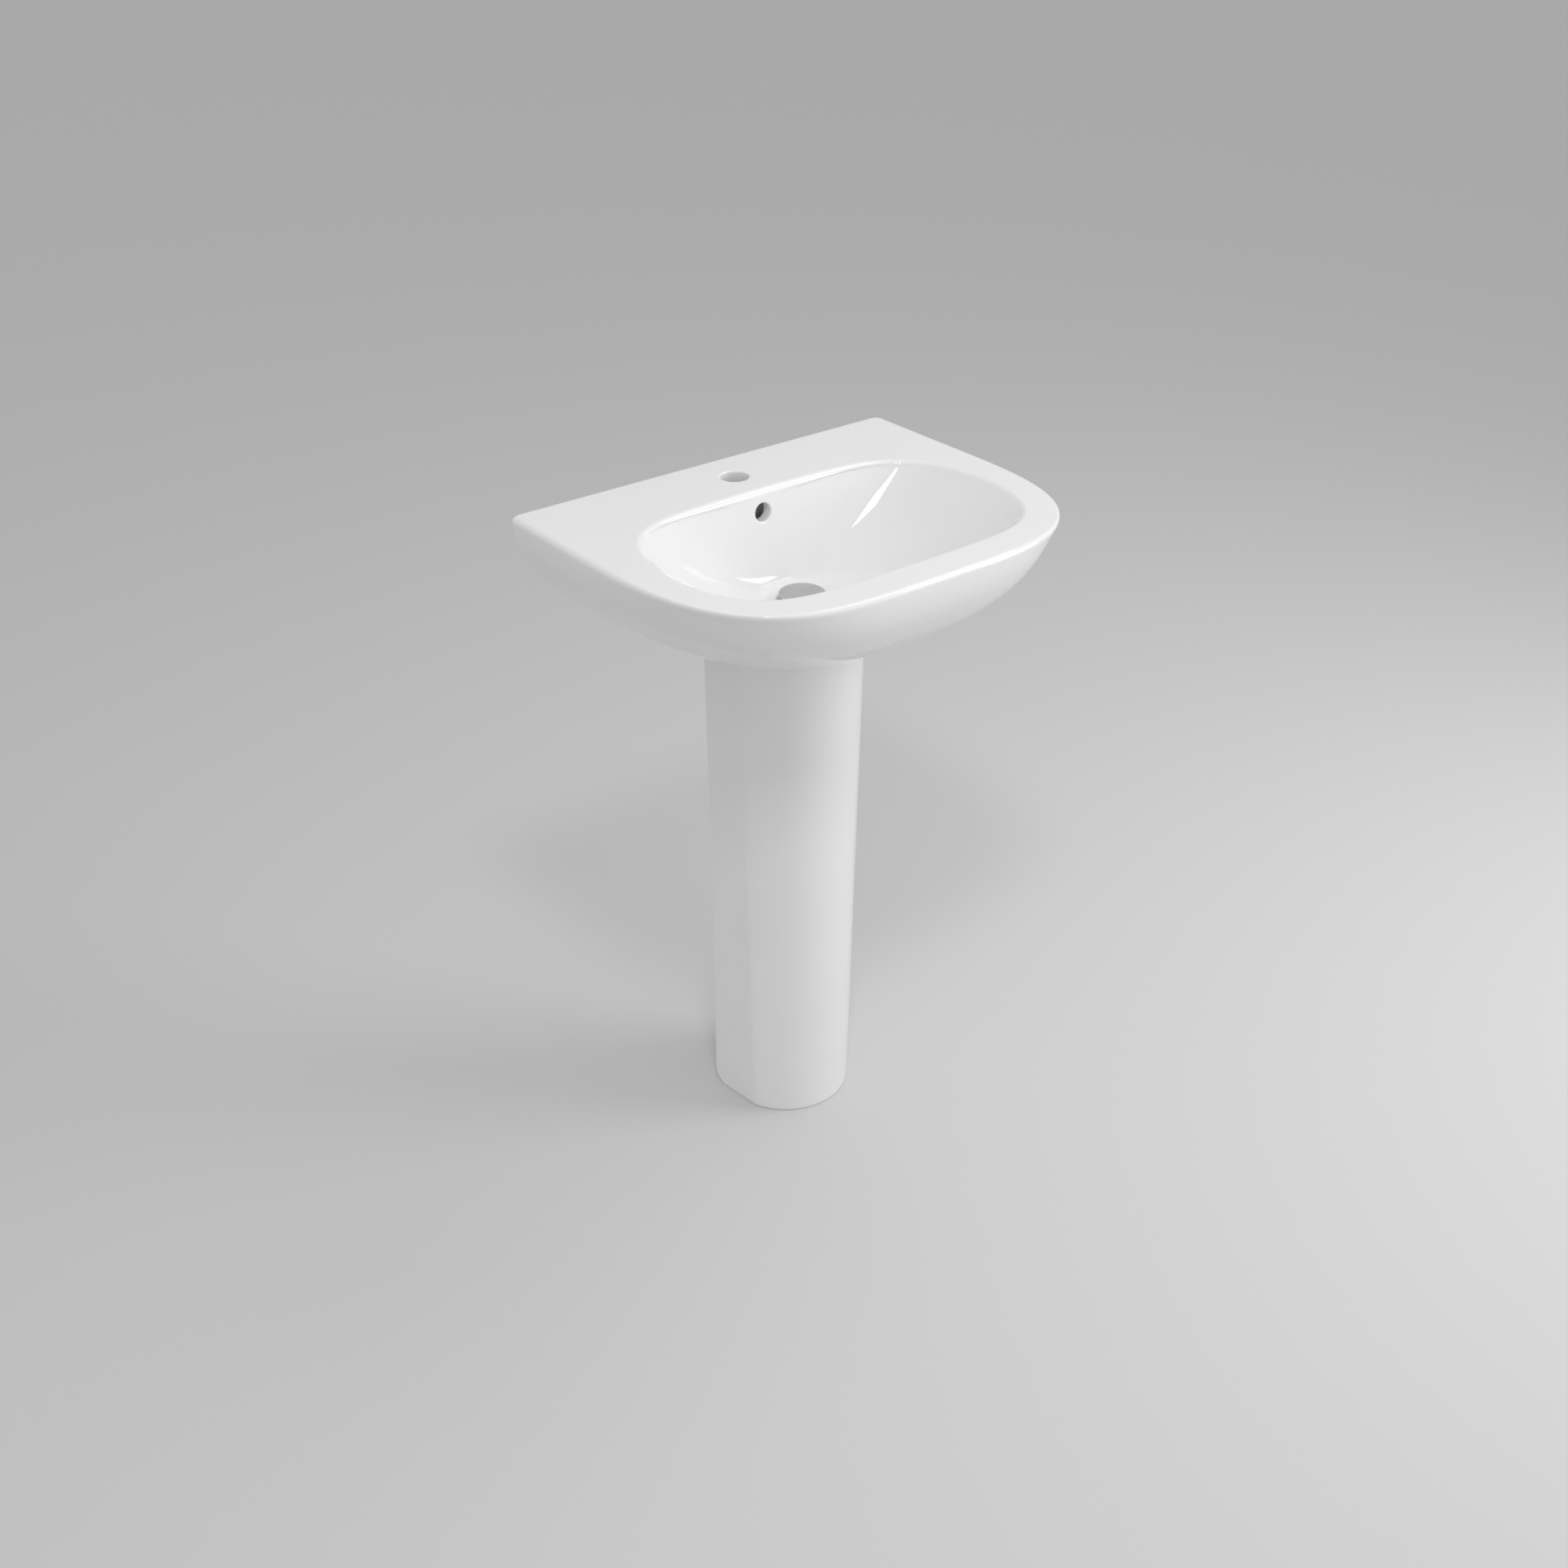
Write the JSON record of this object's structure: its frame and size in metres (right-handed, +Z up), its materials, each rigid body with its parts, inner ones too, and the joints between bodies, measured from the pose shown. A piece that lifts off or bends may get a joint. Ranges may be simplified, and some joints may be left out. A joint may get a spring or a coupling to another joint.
{
  "type": "pedestal sink",
  "caption": "Pedestal sink: a D-fronted glazed basin with one tap hole, an overflow and a push-to-close waste, on a half-round column that hides a bottle trap.",
  "frame": {"origin": "on the floor, under the middle of the basin's plan", "axes": "+Z up, +Y towards the wall behind the basin, +X to the right as seen by someone facing the basin"},
  "size_m": [0.5598, 0.4349, 0.85],
  "materials": {
    "glaze": "white gloss glaze",
    "chrome": "polished",
    "brass": "machined",
    "rubber": "matt black",
    "white_plastic": "moulded polypropylene",
    "grey_plastic": "moulded acetal",
    "spring_steel": "bright drawn wire"
  },
  "bodies": {
    "root": {"basin": "glaze", "pedestal": "glaze", "pedestal_pads": "rubber", "waste_flange": "chrome", "waste_upper_washer": "rubber", "waste_lower_washer": "rubber", "waste_slip_washer": "grey_plastic", "waste_backnut": "brass", "plug_cartridge": "grey_plastic", "plug_spring": "spring_steel", "trap_inlet_nut": "white_plastic", "trap_inlet_washer": "rubber", "trap_inlet_tube": "white_plastic", "trap_tube_nut": "white_plastic", "trap_tube_washer": "rubber", "trap_body": "white_plastic", "trap_outlet_nut": "white_plastic", "trap_outlet_washer": "rubber"},
    "plug": {"plug_cap": "chrome", "plug_seal": "rubber", "plug_plunger": "grey_plastic"},
    "latch": {"plug_latch_ring": "grey_plastic"},
    "cup_seal": {"trap_cup_seal": "rubber"},
    "cup": {"trap_cup": "white_plastic"}
  },
  "joints": [
    {"name": "plug_slide", "type": "slide", "parent": "root", "child": "plug", "axis": [0, 0, 1], "range_m": [-0.008, 0], "stiffness_N_per_m": 600, "springref_m": 0.006, "deforming": ["plug_spring"]},
    {"name": "latch_turn", "type": "hinge", "parent": "plug", "child": "latch", "pos_m": [0, 0.0265, 0.721], "axis": [0, 0, 1], "range_deg": [-46, 0]},
    {"name": "cup_drop", "type": "slide", "parent": "root", "child": "cup_seal", "axis": [0, 0, 1], "range_m": [-0.0076, 0]},
    {"name": "cup_turn", "type": "hinge", "parent": "cup_seal", "child": "cup", "pos_m": [0, 0.0265, 0.45], "axis": [0, 0, 1], "range_deg": [-900, 0]}
  ],
  "couplings": [
    {"joint": "latch_turn", "follows": "plug_slide", "rad_per_m": 98.175},
    {"joint": "cup_drop", "follows": "cup_turn", "m_per_rad": 0.00047746}
  ]
}
